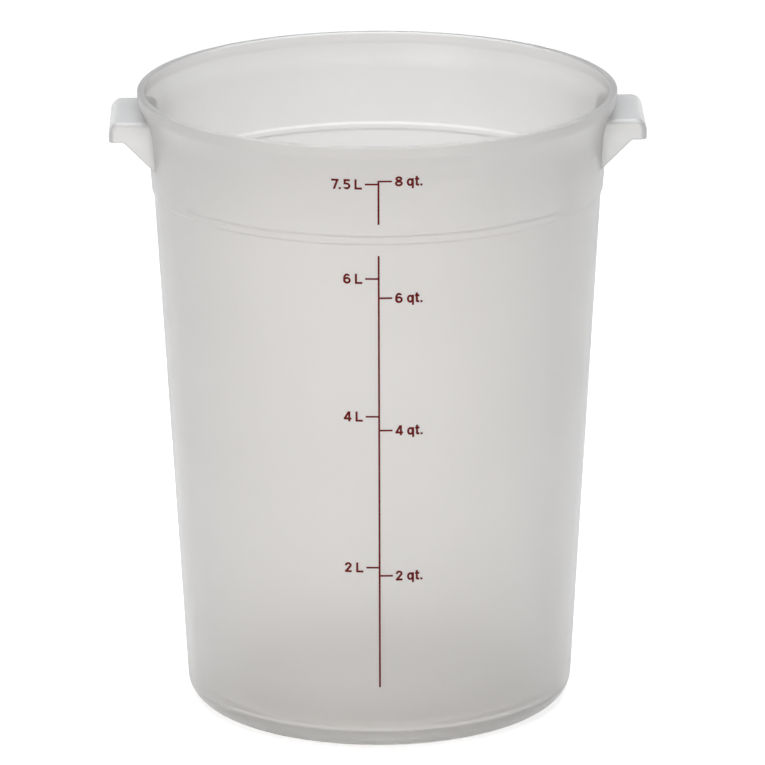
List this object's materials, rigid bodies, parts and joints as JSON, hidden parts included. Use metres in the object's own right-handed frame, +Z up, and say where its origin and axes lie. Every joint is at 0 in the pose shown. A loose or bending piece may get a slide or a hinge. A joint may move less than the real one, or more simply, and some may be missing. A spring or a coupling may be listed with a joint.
{
  "type": "dough proofing container",
  "caption": "Round tapered tub of translucent plastic with an open mouth, a rim bead, a stacking ledge, two ear handles and a printed scale, for proofing dough.",
  "frame": {"origin": "middle of the footprint on the surface the tub stands on", "axes": "+Z up along the tub's axis, +X through the right-hand handle as seen from the printed side, -Y towards the printed scale"},
  "size_m": [0.2452, 0.22, 0.2905],
  "materials": {
    "tub_plastic": "translucent, satin outside and slightly glossier inside",
    "scale_ink": "thin printed ink, slightly glossy"
  },
  "bodies": {
    "root": {"tub": "tub_plastic", "left_handle": "tub_plastic", "right_handle": "tub_plastic", "upper_scale_line": "scale_ink", "lower_scale_line": "scale_ink", "figures_7_5_litres": "scale_ink", "figures_6_litres": "scale_ink", "figures_4_litres": "scale_ink", "figures_2_litres": "scale_ink", "figures_8_quarts": "scale_ink", "figures_6_quarts": "scale_ink", "figures_4_quarts": "scale_ink", "figures_2_quarts": "scale_ink"}
  },
  "joints": []
}
